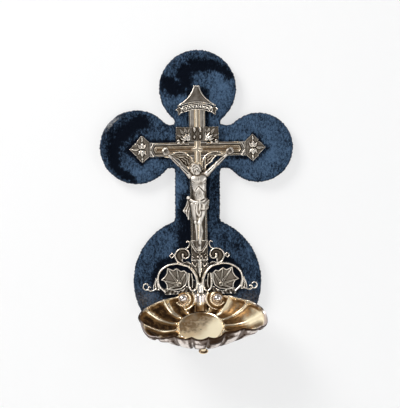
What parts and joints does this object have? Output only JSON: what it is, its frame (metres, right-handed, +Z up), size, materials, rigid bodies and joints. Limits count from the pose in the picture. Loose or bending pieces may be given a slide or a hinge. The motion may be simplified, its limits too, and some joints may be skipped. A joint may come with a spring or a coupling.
{
  "type": "holy water font",
  "caption": "Wall font: a velvet-covered board with rounded lobes carries a silver cross, pierced scrollwork with leaves and a fluted shell basin.",
  "frame": {"origin": "on the wall plane, at the flat back lining behind the middle of the board's cross", "axes": "+Z up, +X to the right as seen from the front, +Y out of the back into the wall; the font stands out towards -Y"},
  "size_m": [0.1356, 0.0613, 0.208],
  "materials": {
    "silver": "worn cast silver, tarnished in the hollows",
    "dark_silver": "tarnished cast silver with bright edges",
    "gilt": "worn gilding over silver, polished in the well",
    "brass": "dull yellow brass",
    "steel": "plain turned steel",
    "velvet": "dark blue silk velvet, crushed at the edges",
    "wood": "plain sawn softwood",
    "lining": "dark glued paper"
  },
  "bodies": {
    "font": {"backing_board": "wood", "velvet_cover": "velvet", "back_lining": "lining", "hanger_plate": "brass", "hanger_screw_left": "brass", "hanger_screw_right": "brass", "post_top": "steel", "post_left": "steel", "post_right": "steel", "post_basin": "steel", "nut_top": "brass", "nut_left": "brass", "nut_right": "brass", "nut_basin": "brass", "cross_upright": "silver", "cross_beam": "silver", "gilt_inlay": "gilt", "finial_left": "silver", "finial_right": "silver", "gable_cap": "silver", "titulus_scroll": "dark_silver", "corner_leaf_left": "silver", "corner_leaf_right": "silver", "lower_web_left": "dark_silver", "lower_web_right": "dark_silver", "corpus": "silver", "hand_nail_left": "dark_silver", "hand_nail_right": "dark_silver", "foot_nail": "dark_silver", "foot_calyx": "silver", "scroll_stem": "silver", "upper_volute_left": "silver", "upper_volute_right": "silver", "ring_scroll_left": "silver", "ring_scroll_right": "silver", "vine_leaf_left": "dark_silver", "vine_leaf_right": "dark_silver", "tail_scroll_left": "silver", "tail_scroll_right": "silver", "shell_basin": "gilt", "basin_neck": "gilt", "basin_volute_left": "silver", "basin_volute_right": "silver", "basin_bracket": "dark_silver", "basin_knob": "gilt"},
    "hanging_ring": {"hanging_ring": "brass"}
  },
  "joints": [
    {"name": "ring_swing", "type": "hinge", "parent": "font", "child": "hanging_ring", "pos_m": [0, -0.002, 0.046], "axis": [1, 0, 0], "range_deg": [0, 180]}
  ]
}
